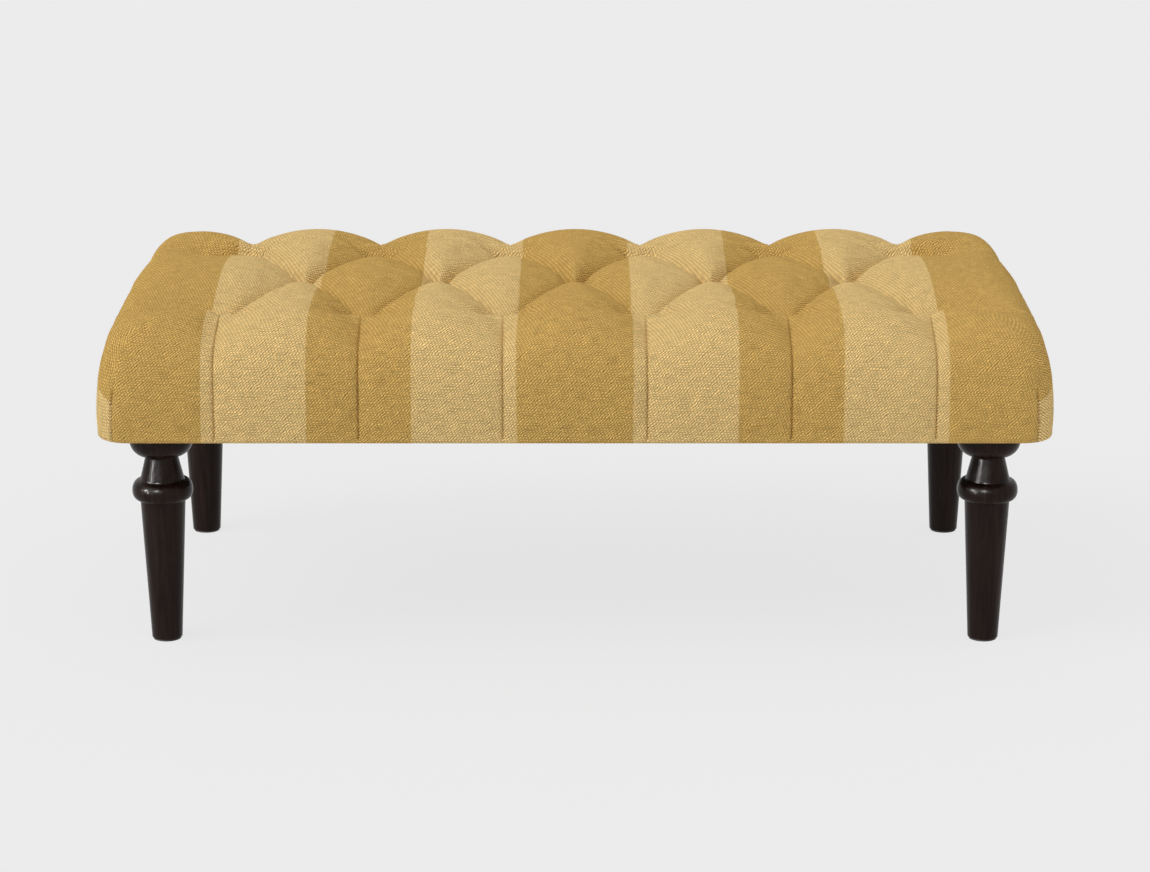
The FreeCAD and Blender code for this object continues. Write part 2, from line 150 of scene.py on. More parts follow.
# %% [markdown]
# ## Puffs, pleats and seams
# Deep tufting folds the cloth into a pleat along each diagonal between two tufts, and from the outer row
# of tufts a seam runs over the edge to the hem. Between the folds the padding swells. A puff is highest in
# its middle and falls to the fold ever faster, so its section is a power of a parabola: a low power gives
# a full puff with steep sides, and a power of one gives a soft valley.

# %% Values of the swell
pleat_rise = 0.011
# powers of a diamond's swell in front of the middle row and behind it, and the stretch where they change
diamond_powers = (0.58, 0.38)
diamond_change = (-0.10, 0.06)
puff_power = 0.72
# the front and the back puffs change their power towards the middle row by these
puff_turns = {-1: -0.2, 1: 0.35}
ridge_powers = (3, 0.6)
# how deep a seam lies just past its tuft, on the shoulder and on the face, and where it gets there
saddle_depth = 0.0155
saddle_span = (0.0, 0.012)
shoulder_depth = 0.022
shoulder_span = (0.03, 0.08)
seam_depth = 0.006
face_span = (0.095, 0.175)
# steps in the power of the swell beside a seam, each with the stretch that it takes
power_steps = ((0.55, 0.0, 0.03), (-0.25, 0.04, 0.08), (-0.65, 0.10, 0.18))
# the flat of the valley just past a tuft, as a share of half a pitch, and where it ends
valley_flat = 0.36
valley_end = (0.026, 0.060)
end_fade = 0.001
end_span = (0.0, 0.20)
hem_blend = 0.004
crease_depth = 0.0025
crease_width = 0.0022
crease_span = (0.018, 0.045)
# a bowl has a width, a reach inwards, a reach outwards and a share of flat floor
middle_bowl = (0.024, 0.024, 0.024, 0.25)
outer_bowl = (0.050, 0.0224, 0.0277, 0.121)
print("pleats rise", pleat_rise, "m above the tufts")


# %% Heights between the tufts
def smooth(x, low, high):
    """A smooth step from 0 at low to 1 at high."""
    t = np.clip((x - low) / (high - low), 0.0, 1.0)
    return t * t * (3 - 2 * t)


def diamond_power(y):
    """The power of a diamond's swell: soft in front of the middle row, full behind it."""
    return between(*diamond_powers, smooth(y, *diamond_change))


def pleat_height(a, b):
    """Height along a pleat; a and b add up to 1, and it is highest where both are one half."""
    return tuft_z + pleat_rise * 16 * a ** 2 * b ** 2


def diamond_height(a, b, power):
    """Height of a whole diamond; a and b are distances from its middle, 1 at its corners."""
    fold = pleat_height(a, b)
    swell = np.clip((1 - (a + b) ** 2) * (1 - (a - b) ** 2), 0.0, None) ** power
    return between(fold, crest_z, swell)


def puff_height(a, b, turn):
    """Height of a front or back puff; b is 0 at the middle tuft and 1 at the outer row."""
    fold = pleat_height(b, 1 - b)
    start, rounding = ridge_powers
    ridge = tuft_z + tuft_depth * np.clip(1 - (1 - b) ** start, 0.0, None) ** rounding
    share = np.divide(a, b, out=np.ones_like(a + b), where=(b + 0 * a) > tiny)
    swell = np.clip(1 - share ** 2, 0.0, None) ** (puff_power + turn * (1 - b ** 2))
    return between(fold, np.maximum(ridge, fold), swell)


def bowl_share(x, y, tuft_x, tuft_y, bowl):
    """1 away from a tuft and less in its bowl."""
    wide, inwards, outwards, floor_share = bowl
    past = np.abs(y) - tuft_y
    away = np.hypot((x - tuft_x) / wide, np.where(past < 0, past / inwards, past / outwards))
    return smooth(away, -floor_share, 1.0)


def rounded_tufts(x, y, z):
    """Heights with the bottom of each tuft rounded into a bowl, wide at the outer rows."""
    last = outer_row_tufts - 1
    column = (x + last_column) / (2 * half_pitch)
    outer_x = -last_column + 2 * half_pitch * np.clip(np.round(column), 0, last)
    middle_x = -last_column + half_pitch * (2 * np.clip(np.round(column - 0.5), 0, last - 1) + 1)
    outer = bowl_share(x, y, outer_x, row_y, outer_bowl)
    middle = bowl_share(x, y, middle_x, 0.0, middle_bowl)
    return between(tuft_z, z, outer * middle)


print("halfway along a pleat, z is", round(pleat_height(0.5, 0.5), 4))


# %% Depth of the seams
def seam_draw(along):
    """How far a front or back seam lies inside the crest line."""
    saddle = between(tuft_depth, saddle_depth, smooth(along, *saddle_span))
    shoulder = saddle + (shoulder_depth - saddle_depth) * smooth(along, *shoulder_span)
    return between(shoulder, seam_depth, smooth(along, *face_span))


def end_draw(along):
    """How far an end pleat lies inside the crest line."""
    return between(tuft_depth, end_fade, smooth(along, *end_span))


def seam_power(along):
    """The power of the swell: full at the tuft row, soft on the shoulder, flat on the face."""
    power = puff_power
    for step, low, high in power_steps:
        power = power + step * smooth(along, low, high)
    return power


def crease(away, along):
    """How far the thread of a seam is pulled in, at a distance from it."""
    return crease_depth * np.clip(1 - away / crease_width, 0, 1) * smooth(along, *crease_span)


def under_fade(along):
    """1 on the faces and 0 on the flat underside."""
    hem_at = along[-1] - flange
    return 1 - smooth(along, hem_at - hem_blend, hem_at + hem_blend)


seam_depths = [round(float(seam_draw(s)) * 1000, 1) for s in (0.0, 0.03, 0.12, 0.2)]
print("a seam lies", seam_depths, "mm inside the crest")

# %% [markdown]
# ## Panels of the cover
# The cover is built panel by panel on a grid that follows the pleats, so each fold is a row of edges and
# stays crisp. Every panel also keeps two maps: where its threads run, in metres of cloth, and how far it is
# from the middle stripe. The threads follow the length of the cloth over the puffs and the edges, so none is
# stretched on a steep side. A last number says where the cloth is sewn down. The same rules serve a fine
# and a coarse cover.

# %% Panel helpers
stripe_first = 0.0735
stripe_width = 0.1335
stripe_end_z = 0.360
stripe_pleat_z = 0.3385
stripe_slack = 0.02
end_stripe_u = stripe_first + 4 * stripe_width
hem_sewn = 0.010
fold_crowding = 0.12


def end_stripe(line, end_z):
    """The stripe map past the last tufts, where the cloth is drawn tight over the end."""
    along = line["along"]
    stripe_turn = float(np.interp(-end_z, -line["z"], along))
    slope = (end_stripe_u - last_column - stripe_slack) / (stripe_turn - stripe_slack)
    slack = np.minimum(along, stripe_slack)
    return last_column + slack + np.maximum(along - stripe_slack, 0.0) * slope


def stack(*grids):
    """Several grids of numbers as one grid of points."""
    return np.stack(np.broadcast_arrays(*grids), axis=-1)


def panel(points, threads, stripes, held, diagonal=False):
    """A grid of points with its maps and where it is sewn; diagonal splits squares along the pleat."""
    held = np.broadcast_to(np.asarray(held, dtype=float), points.shape[:2])
    held = np.maximum(held, 1.0 * (points[..., 2] < hem_z + hem_sewn))
    return points, threads, np.broadcast_to(stripes, points.shape[:2]), held, diagonal


def drawn_in(line, depth):
    """Inset and height after moving inwards from the crest line."""
    return line["inset"] - depth * line["out_i"], line["z"] - depth * line["out_z"]


def block_shares(counts):
    """Steps over half a pitch, closer together at the folds."""
    even = np.arange(counts["block"] + 1) / counts["block"]
    return even - fold_crowding * np.sin(2 * math.pi * even)


def block_columns(share):
    """For each half pitch, the x of its steps, counted from its outer tuft column."""
    for block in range(2 * (outer_row_tufts - 1)):
        outer_at = block if block % 2 == 0 else block + 1
        toward = 1 if block % 2 == 0 else -1
        yield -last_column + (outer_at + toward * share) * half_pitch


print("stripes:", stripe_width, "m wide")


# %% The field between the tufts
def field_grid(counts, side):
    """Depth, height and length of cloth from the middle line, over half a pitch of the field."""
    share = block_shares(counts)
    s, t = np.meshgrid(share, share, indexing="ij")
    x = next(block_columns(share))[:, None] + 0 * t
    y = side * row_y * (1 - t)
    puffs = puff_height(1 - s, 1 - t, puff_turns[side])
    z = np.where(t <= s, puffs, diamond_height(s, 1 - t, diamond_power(y)))
    z = rounded_tufts(x, y, z)
    steps = np.hypot(np.diff(y, axis=1), np.diff(z, axis=1))
    length = np.cumsum(steps[:, ::-1], axis=1)[:, ::-1]
    return y, z, np.concatenate([length, np.zeros((len(share), 1))], axis=1)


def field_panels(counts):
    """The diamonds and puffs between the rows of tufts."""
    share = block_shares(counts)
    sewn = np.eye(len(share))
    for side in (-1, 1):
        y, z, length = field_grid(counts, side)
        for steps in block_columns(share):
            x = steps[:, None] + 0 * y
            threads = stack(x, side * length)
            yield panel(stack(x, y, z), threads, np.abs(x), sewn, diagonal=True)


print("field panels:", sum(1 for _ in field_panels(coarse)))

# %% The faces and the ends
take_up_span = (0.0, 0.12)
end_fall_span = (0.0, 0.06)
end_sewn_span = (0.05, 0.15)


def edge_run(counts, side, along):
    """Length of cloth from the middle line over the edge; the shoulder takes up what the puffs took."""
    taken_up = field_grid(counts, side)[2][:, :1] - row_y
    return row_y + along + taken_up * (1 - smooth(along, *take_up_span))


def face_panels(counts):
    """The front and back, from the outer tuft rows over the edge to the underside."""
    share = block_shares(counts)[:, None]
    line = edge_line(front_reach, front_powers, counts)
    along = line["along"]
    flat = valley_flat * smooth(along, *saddle_span) * (1 - smooth(along, *valley_end))
    rising = np.clip((share - flat) / (1 - flat), 0.0, 1.0)
    swell = np.clip(1 - (1 - rising) ** 2, 0.0, None) ** seam_power(along)
    depth = seam_draw(along) * (1 - swell) + crease(share * half_pitch, along)
    inset, height = drawn_in(line, depth * under_fade(along))
    for steps in block_columns(share):
        for side in (-1, 1):
            y = side * (half_depth - inset)
            z = rounded_tufts(steps, y, height)
            threads = stack(steps, side * edge_run(counts, side, along))
            yield panel(stack(steps, y, z), threads, np.abs(steps), 1.0 * (share == 0.0))


def end_panels(counts):
    """The two ends, where the outer pleats fade away over the edge."""
    share = block_shares(counts)[:, None]
    line = edge_line(end_reach, end_powers, counts)
    along = line["along"]
    sewn = (share == 0.0) * (1 - smooth(along, *end_sewn_span))
    for half in (-1, 1):
        for side in (-1, 1):
            y = side * row_y * (1 - share)
            fall = 1 - np.clip(1 - (1 - share) ** 2, 0.0, None) ** (2 * diamond_power(y))
            fall = between(fall, (1 - share) ** 2, smooth(along, *end_fall_span))
            inset, height = drawn_in(line, end_draw(along) * under_fade(along) * fall)
            x = half * (half_width - inset)
            z = rounded_tufts(x, y, height)
            length = field_grid(counts, side)[2][0][:, None]
            threads = stack(half * (last_column + along), side * length)
            yield panel(stack(x, y, z), threads, end_stripe(line, stripe_end_z), sewn)


print("edge panels follow", round(front_reach, 3), "and", round(end_reach, 3), "m past the tufts")

# %% [markdown]
# ## The corners
# At a corner the cloth fans out from the corner tuft. The fan's rays run from the tuft to the rounded
# outline of the seat, and each ray uses the same edge line, stretched to the ray's own length. Low on the
# corner the spare cloth is folded into one upright pleat, where the front's cloth meets the end's.

# %% The corner's outline
corner_round = 0.040
corner_fall = 0.0045
pleat_x = 0.588
pleat_top_z = 0.362
pleat_fade = 0.03
pleat_draw = 0.007
pleat_width = 0.0018
ray_rise = 0.075
fan_blend = (0.15, 0.85)
fan_first = 0.008
fan_gap = 0.005
end_extra_rays = 4
rays_at_seam = (0.0, 0.0011, 0.0022, 0.0045)
rays_at_pleat = (0.0, 0.5, 1.0)
front_run = half_width - corner_round - last_column
arc_run = quarter_turn * corner_round
corner_length = front_run + arc_run + half_depth - corner_round - row_y
pleat_angle = math.asin((pleat_x - (half_width - corner_round)) / corner_round)
pleat_place = front_run + corner_round * pleat_angle


def corner_outline(place):
    """A point of the corner's outline at a distance along it, and how far it has turned to the end."""
    if place <= front_run:
        return last_column + place, half_depth, 0.0
    if place <= front_run + arc_run:
        angle = (place - front_run) / corner_round
        x = half_width - corner_round * (1 - math.sin(angle))
        return x, half_depth - corner_round * (1 - math.cos(angle)), angle / quarter_turn
    return half_width, half_depth - corner_round - (place - front_run - arc_run), 1.0


print("corner outline:", round(corner_length, 3), "m, pleat at", round(pleat_place, 3))


# %% The corner fans
def corner_ray(place, counts):
    """One ray of the fan: its points, its edge line, where it is sewn and how far out each point is."""
    qx, qy, to_end = corner_outline(place)
    reach = between(front_reach, end_reach, to_end)
    turn = place / corner_length
    ease = abs(2 * float(smooth(turn, 0.0, 1.0)) - 1)
    side_powers = front_powers if turn < 0.5 else end_powers
    powers = [between(c, s, ease) for c, s in zip(corner_powers, side_powers)]
    line = edge_line(reach, powers, counts)
    along = line["along"]
    a = 2 * turn - 1
    rise = np.sqrt(1 - (1 - np.clip(along / ray_rise, 0, 1)) ** 2)
    blend = smooth(turn, *fan_blend)
    draw = between(seam_draw(along), end_draw(along), blend)
    swell = max(1 - a * a, 0.0) ** (seam_power(along) * (1 - blend) + blend) * rise
    fall = corner_fall * rise * (1 - a * a) * smooth(line["z"], widest_z, crest_z)
    depth = draw * (1 - swell) + fall + crease(place, along)
    low = smooth(-line["z"], -pleat_top_z, -pleat_top_z + pleat_fade)
    depth = depth + pleat_draw * max(1 - abs(place - pleat_place) / pleat_width, 0.0) * low
    inset, z = drawn_in(line, depth * under_fade(along))
    out = 1 - inset / reach
    x = between(last_column, qx, out)
    y = between(row_y, qy, out)
    z = rounded_tufts(x, y, z)
    sewn = 1.0 * (place == 0.0) + (place == pleat_place) * low + (along < tiny)
    sewn = sewn + (abs(place - corner_length) < tiny) * (1 - smooth(along, *end_sewn_span))
    return x, y, z, line, np.minimum(sewn, 1.0), out


def corner_panels(counts):
    """The four fans, each in two panels that meet in the corner pleat."""
    near_pleat = pleat_width * np.array(rays_at_pleat)
    front_fan = np.linspace(fan_first, pleat_place - fan_gap, counts["fan"])
    end_fan = np.linspace(pleat_place + fan_gap, corner_length, counts["fan"] + end_extra_rays)
    front = np.concatenate([rays_at_seam, front_fan, (pleat_place - near_pleat)[::-1]])
    end = np.concatenate([pleat_place + near_pleat, end_fan])
    for places, front_cloth in ((front, True), (end, False)):
        x, y, z, lines, sewn, out = zip(*[corner_ray(place, counts) for place in places])
        x, y, z, sewn, out = (np.array(rows) for rows in (x, y, z, sewn, out))
        along = np.array([line["along"] for line in lines])
        rise = np.clip((places - pleat_place) / (front_run + arc_run - pleat_place), 0.0, 1.0)
        ends = between(stripe_pleat_z, stripe_end_z, rise)
        stripes = x
        if not front_cloth:
            stripes = np.array([end_stripe(line, end_z) for line, end_z in zip(lines, ends)])
        for sx in (-1, 1):
            for sy in (-1, 1):
                side_run = np.array([edge_run(counts, sy, one)[0] for one in along])
                threads = stack(sx * (last_column + places[:, None] * out), sy * side_run)
                if not front_cloth:
                    back_run = side_run[:, :1] + (corner_length - places[:, None]) * out
                    threads = stack(sx * (last_column + along), sy * back_run)
                yield panel(stack(sx * x, sy * y, z), threads, stripes, sewn)


print("corner panels:", sum(1 for _ in corner_panels(coarse)))

# %% [markdown]
# ## Sewing the panels together
# The panels become one mesh: points that lie on each other are merged, and the hole in the underside is
# closed, so the cushion is one closed form. The maps go on the corners of the faces, because
# two panels may disagree about them along a seam.

# %% Sew the cover
merge_distance = 2e-6
hem_tolerance = 1e-5


def linked(name, data):
    """A new object in the scene."""
    made = bpy.data.objects.new(name, data)
    bpy.context.scene.collection.objects.link(made)
    return made


def sewn_cover(name, counts):
    """All panels as one closed mesh object with its maps."""
    mesh = bmesh.new()
    thread_map = mesh.loops.layers.uv.new("threads")
    stripe_map = mesh.loops.layers.uv.new("stripes")
    sewn_layer = mesh.verts.layers.float.new("sewn")
    for maker in (field_panels, face_panels, end_panels, corner_panels):
        for points, threads, stripes, held, diagonal in maker(counts):
            rows, columns = points.shape[:2]
            verts = {at: mesh.verts.new(points[at]) for at in np.ndindex(rows, columns)}
            for at, vert in verts.items():
                vert[sewn_layer] = held[at]
            squares = []
            for i, j in np.ndindex(rows - 1, columns - 1):
                square = [(i, j), (i + 1, j), (i + 1, j + 1), (i, j + 1)]
                if diagonal and i == j:
                    squares += [square[:3], [square[0], square[2], square[3]]]
                else:
                    squares.append(square)
            for places in squares:
                face = mesh.faces.new([verts[at] for at in places])
                face.smooth = True
                for loop, at in zip(face.loops, places):
                    loop[thread_map].uv = threads[at]
                    loop[stripe_map].uv = (stripes[at], 0.0)
    bmesh.ops.remove_doubles(mesh, verts=mesh.verts, dist=merge_distance)
    lowest = hem_z + hem_tolerance
    open_edges = [edge for edge in mesh.edges if edge.is_boundary]
    hem = [edge for edge in open_edges if max(v.co.z for v in edge.verts) < lowest]
    cap = bmesh.ops.edgeloop_fill(mesh, edges=hem)["faces"]
    bmesh.ops.triangulate(mesh, faces=cap)
    print(name, "open edges left:", sum(edge.is_boundary for edge in mesh.edges))
    bmesh.ops.recalc_face_normals(mesh, faces=mesh.faces)
    data = bpy.data.meshes.new(name)
    mesh.to_mesh(data)
    mesh.free()
    return linked(name, data)


cushion = sewn_cover("cushion_cover", fine)
print("cushion:", len(cushion.data.vertices), "points,", len(cushion.data.polygons), "faces")

# %% [markdown]
# ## Letting the cloth settle
# The panels so far follow clean rules, and real cloth doesn't. A coarse copy of the cover is held along
# its seams, pleats and hem, blown up a little from inside, and allowed to settle for a few frames with
# slightly more cloth than it needs. The free cloth swells and finds its own shape between the folds. Those
# moves are then carried over to the fine cover. Each point may move only a few millimetres, so the cushion
# keeps its size.

# %% How the cloth settles
settle_frames = 16
settle_pressure = 0.6
spare_cloth = 0.012
least_hold = 0.01


def coordinates(mesh):
    """All points of a mesh as one array."""
    flat = np.empty(len(mesh.vertices) * 3)
    mesh.vertices.foreach_get("co", flat)
    return flat.reshape(-1, 3)


def sewn_down(mesh):
    """How firmly each point is held."""
    held = np.empty(len(mesh.vertices))
    mesh.attributes["sewn"].data.foreach_get("value", held)
    return np.clip(held, 0.0, 1.0)


def settle(piece):
    """Runs Cloth on a piece held where it is sewn; gives its points before and their moves."""
    held = sewn_down(piece.data)
    group = piece.vertex_groups.new(name="sewn_down")
    for index in np.where(held > least_hold)[0]:
        group.add([int(index)], float(held[index]), "REPLACE")
    before = coordinates(piece.data)
    modifier = piece.modifiers.new("settling", "CLOTH")
    cloth = modifier.settings
    cloth.quality = 4
    cloth.mass = 0.25
    cloth.tension_stiffness = 10.0
    cloth.compression_stiffness = 10.0
    cloth.shear_stiffness = 3.0
    cloth.bending_stiffness = 0.5
    cloth.effector_weights.gravity = 0.0
    cloth.use_pressure = True
    cloth.uniform_pressure_force = settle_pressure
    cloth.shrink_min = -spare_cloth
    cloth.vertex_group_mass = group.name
    modifier.point_cache.frame_start = 1
    modifier.point_cache.frame_end = settle_frames
    for at in range(1, settle_frames + 1):
        bpy.context.scene.frame_set(at)
    depsgraph = bpy.context.evaluated_depsgraph_get()
    after = coordinates(piece.evaluated_get(depsgraph).data)
    bpy.data.objects.remove(piece)
    bpy.context.scene.frame_set(1)
    return before, after - before


print("the cloth settles for", settle_frames, "frames")

# %% Settle a coarse cover and carry its moves over
settle_cap = 0.0025
seam_hold = 0.018
carry_points = 6
carry_spread = 0.008
carry_least = 1e-6
firmly_sewn = 0.5


def tree_of(points):
    """A tree that finds the nearest of some points."""
    tree = KDTree(len(points))
    for index, point in enumerate(points):
        tree.insert(point, index)
    tree.balance()
    return tree


def carry_over(piece, before, move, cap):
    """Moves a fine piece as the coarse one moved, no further than cap, and not where it is sewn."""
    length = np.linalg.norm(move, axis=1, keepdims=True)
    move = move * cap * np.tanh(length / cap) / np.maximum(length, tiny)
    tree = tree_of(before)
    points = coordinates(piece.data)
    shift = np.zeros_like(points)
    for index, point in enumerate(points):
        near = tree.find_n(point, carry_points)
        weights = [math.exp(-(distance / carry_spread) ** 2) + carry_least for _, _, distance in near]
        weights = np.array(weights)
        shift[index] = weights @ move[[which for _, which, _ in near]] / weights.sum()
    seams = tree_of(points[sewn_down(piece.data) > firmly_sewn])
    free = smooth(np.array([seams.find(point)[2] for point in points]), 0.0, seam_hold)
    shift *= free[:, None]
    piece.data.vertices.foreach_set("co", (points + shift).ravel())
    piece.data.update()
    return float(np.linalg.norm(shift, axis=1).max())


places, moves = settle(sewn_cover("settling_cover", coarse))
largest = carry_over(cushion, places, moves, settle_cap)
print("coarse cover:", len(places), "points; largest fine move:", round(1000 * largest, 2), "mm")

# %% [markdown]
# ## Node helpers
# Every finish below is a small tree of nodes. These helpers keep the lesson short: they add a node with its
# settings and links, and start a material with its shader.

# %% Node helpers
def node(tree, kind, links=None, **settings):
    """Adds a node; links sets each named or numbered input to a value or joins it to an output."""
    made = tree.nodes.new(kind)
    for key, value in settings.items():
        setattr(made, key, value)
    for key, value in (links or {}).items():
        socket = made.inputs[key]
        if isinstance(value, bpy.types.NodeSocket):
            tree.links.new(value, socket)
        else:
            socket.default_value = value
    return made


def calc(tree, operation, *values):
    """A Math node's output."""
    return node(tree, "ShaderNodeMath", dict(enumerate(values)), operation=operation).outputs[0]


def split(tree, vector):
    """The three parts of a vector."""
    return node(tree, "ShaderNodeSeparateXYZ", {0: vector}).outputs


def mix_colour(tree, factor, first, second):
    """One colour mixed with another."""
    links = {0: factor, 6: first, 7: second}
    return node(tree, "ShaderNodeMix", links, data_type="RGBA").outputs[2]


def noise(tree, vector, scale, detail, distortion=0.0, size="3D"):
    """A Noise texture's value."""
    links = {"Vector": vector, "Scale": scale, "Detail": detail, "Distortion": distortion}
    return node(tree, "ShaderNodeTexNoise", links, noise_dimensions=size).outputs["Fac"]


def ranged(tree, value, low, high, to_low=0.0, to_high=1.0):
    """A value mapped from one range to another."""
    links = {"Value": value, 1: low, 2: high, 3: to_low, 4: to_high}
    return node(tree, "ShaderNodeMapRange", links).outputs[0]


print("node helpers ready")


# %% Material helpers
def bumped(tree, shader, height, strength, distance, **settings):
    """Gives a shader a bump."""
    links = {"Height": height, "Strength": strength, "Distance": distance}
    made = node(tree, "ShaderNodeBump", links, **settings)
    tree.links.new(made.outputs[0], shader.inputs["Normal"])


def empty_tree(owner):
    """The node tree of a material or a world, with nothing in it."""
    owner.use_nodes = True
    owner.node_tree.nodes.clear()
    return owner.node_tree


def finish(name, **sockets):
    """A material with a Principled shader; sockets are set on the shader itself."""
    material = bpy.data.materials.new(name)
    tree = empty_tree(material)
    shader = node(tree, "ShaderNodeBsdfPrincipled")
    node(tree, "ShaderNodeOutputMaterial", {"Surface": shader.outputs[0]})
    for key, value in sockets.items():
        shader.inputs[key.replace("_", " ")].default_value = value
    return material, tree, shader


def shader_group(name, inputs, outputs):
    """An empty shader group with named sockets."""
    tree = bpy.data.node_groups.new(name, "ShaderNodeTree")
    for label, kind, value in inputs:
        socket = tree.interface.new_socket(label, in_out="INPUT", socket_type="NodeSocket" + kind)
        if value is not None:
            socket.default_value = value
    for label in outputs:
        tree.interface.new_socket(label, in_out="OUTPUT", socket_type="NodeSocketFloat")
    return tree, node(tree, "NodeGroupInput"), node(tree, "NodeGroupOutput")


def srgb(red, green, blue):
    """A colour from its picture values, 0 to 255."""
    def linear(v):
        v = v / 255.0
        return v / 12.92 if v <= 0.04045 else ((v + 0.055) / 1.055) ** 2.4
    return (linear(red), linear(green), linear(blue), 1.0)


print("material helpers ready")

# %% [markdown]
# ## Woven threads
# The cover is a coarse, slubby twill: short slanting floats, with picks of uneven thickness across them,
# both wandering a little. The dust sheet, the tuft pads and the twine are woven too, so the weave is one
# group that each material uses with its own spacing. It gives a height for the bump and a tone for slubs;
# the cover also paints its height as shade in the gaps between threads.

# %% The weave group
wander_scale = 110.0
float_wander = 1.5
pick_wander = 1.6
patch_scale = 75.0
patch_range = (0.35, 0.6)
float_shares = (0.5, 0.9)
dot_share = 0.6
height_range = (0.42, 0.5)
long_slubs = (55.0, 330.0, 1.0)
cross_slubs = (330.0, 45.0, 1.0)
tone_shares = (0.55, 0.3, 0.15)

weave, weave_in, weave_out = shader_group(
    "woven_threads",
    [("Cloth", "Vector", None), ("Float spacing", "Float", 0.0041), ("Pick spacing", "Float", 0.0031)],
    ["Height", "Tone"],
)
cloth = weave_in.outputs["Cloth"]
wander = noise(weave, cloth, wander_scale, detail=3.0, size="2D")
patch = noise(weave, cloth, patch_scale, detail=2.0, size="2D")
parts = split(weave, cloth)
across = calc(weave, "DIVIDE", parts[0], weave_in.outputs["Float spacing"])
up = calc(weave, "DIVIDE", parts[1], weave_in.outputs["Float spacing"])
down = calc(weave, "DIVIDE", parts[1], weave_in.outputs["Pick spacing"])
print("weave: wander and patches ready")

# %% Height and tone of the weave
up = calc(weave, "ADD", up, calc(weave, "MULTIPLY", wander, float_wander))
down = calc(weave, "ADD", down, calc(weave, "MULTIPLY", wander, pick_wander))
slant = calc(weave, "SUBTRACT", across, up)
floats = calc(weave, "COSINE", calc(weave, "MULTIPLY", slant, 2 * math.pi))
picks = calc(weave, "COSINE", calc(weave, "MULTIPLY", down, 2 * math.pi))
float_share = ranged(weave, patch, *patch_range, *float_shares)
pick_share = calc(weave, "SUBTRACT", 1.0, float_share)
float_part = calc(weave, "MULTIPLY", floats, float_share)
height = calc(weave, "ADD", float_part, calc(weave, "MULTIPLY", picks, pick_share))
dots = calc(weave, "MULTIPLY", floats, picks)
height = calc(weave, "ADD", height, calc(weave, "MULTIPLY", dots, dot_share))
height = calc(weave, "MULTIPLY_ADD", height, *height_range)
long_map = node(weave, "ShaderNodeMapping", {"Vector": cloth, "Scale": long_slubs}).outputs[0]
cross_map = node(weave, "ShaderNodeMapping", {"Vector": cloth, "Scale": cross_slubs}).outputs[0]
long_slub = noise(weave, long_map, scale=1.0, detail=2.0, size="2D")
cross_slub = noise(weave, cross_map, scale=1.0, detail=2.0, size="2D")
tone = calc(weave, "MULTIPLY", long_slub, tone_shares[0])
tone = calc(weave, "MULTIPLY_ADD", cross_slub, tone_shares[1], tone)
tone = calc(weave, "MULTIPLY_ADD", patch, tone_shares[2], tone)
weave.links.new(height, weave_out.inputs["Height"])
weave.links.new(tone, weave_out.inputs["Tone"])
print("weave group:", len(weave.nodes), "nodes")

# %% [markdown]
# ## Striped cloth
# The stripes repeat every two widths. Their edges are a little ragged, because they follow the threads, and
# thick and thin threads are lighter and darker. The gaps between the threads are painted darker and the
# crowns lighter: painted shade.

# %% The striped cover cloth
dark_stripe = srgb(188, 153, 87)
light_stripe = srgb(207, 177, 119)
stripe_ragged = 0.003
stripe_edge = (0.0007, 0.0023)
tone_lift = (0.9, 0.55)
# painted shade: how much the weave's height darkens the gaps between threads and lightens their crowns
thread_shade_range = (1.3, 0.38)

cover_cloth, tree, shader = finish("striped_cover_cloth", Roughness=0.95, Specular_IOR_Level=0.0)
threads = node(tree, "ShaderNodeUVMap", uv_map="threads")
stripes = node(tree, "ShaderNodeUVMap", uv_map="stripes")
woven = node(tree, "ShaderNodeGroup", {"Cloth": threads.outputs[0]}, node_tree=weave)
period = 2 * stripe_width
place = calc(tree, "ADD", split(tree, stripes.outputs[0])[0], stripe_width - stripe_first)
turns = calc(tree, "FRACT", calc(tree, "DIVIDE", place, period))
phase = calc(tree, "MULTIPLY", turns, period)
ragged = calc(tree, "MULTIPLY_ADD", woven.outputs["Tone"], stripe_ragged, phase)
light_on = ranged(tree, ragged, stripe_width + stripe_edge[0], stripe_width + stripe_edge[1])
light_off = ranged(tree, ragged, *stripe_edge)
is_light = calc(tree, "ADD", calc(tree, "SUBTRACT", 1.0, light_off), light_on)
base = mix_colour(tree, is_light, dark_stripe, light_stripe)
lift = calc(tree, "MULTIPLY_ADD", woven.outputs["Tone"], *tone_lift)
# painted shade: the weave's height darkens the colour in the gaps between threads and lightens the crowns
painted_thread_shade = calc(tree, "MULTIPLY_ADD", woven.outputs["Height"], *thread_shade_range)
lift = calc(tree, "MULTIPLY", lift, painted_thread_shade)
toned = node(tree, "ShaderNodeVectorMath", {0: base, "Scale": lift}, operation="SCALE")
tree.links.new(toned.outputs[0], shader.inputs["Base Color"])
bumped(tree, shader, woven.outputs["Height"], strength=0.35, distance=0.0008)
cushion.data.materials.append(cover_cloth)
print("cover cloth:", len(tree.nodes), "nodes")

# %% [markdown]
# ## Wood
# The legs are stained almost black-brown and lacquered, so the grain shows only as faint streaks
# along the leg. The frame inside is plain pale wood. Both are stretched noise along the board, in one group.

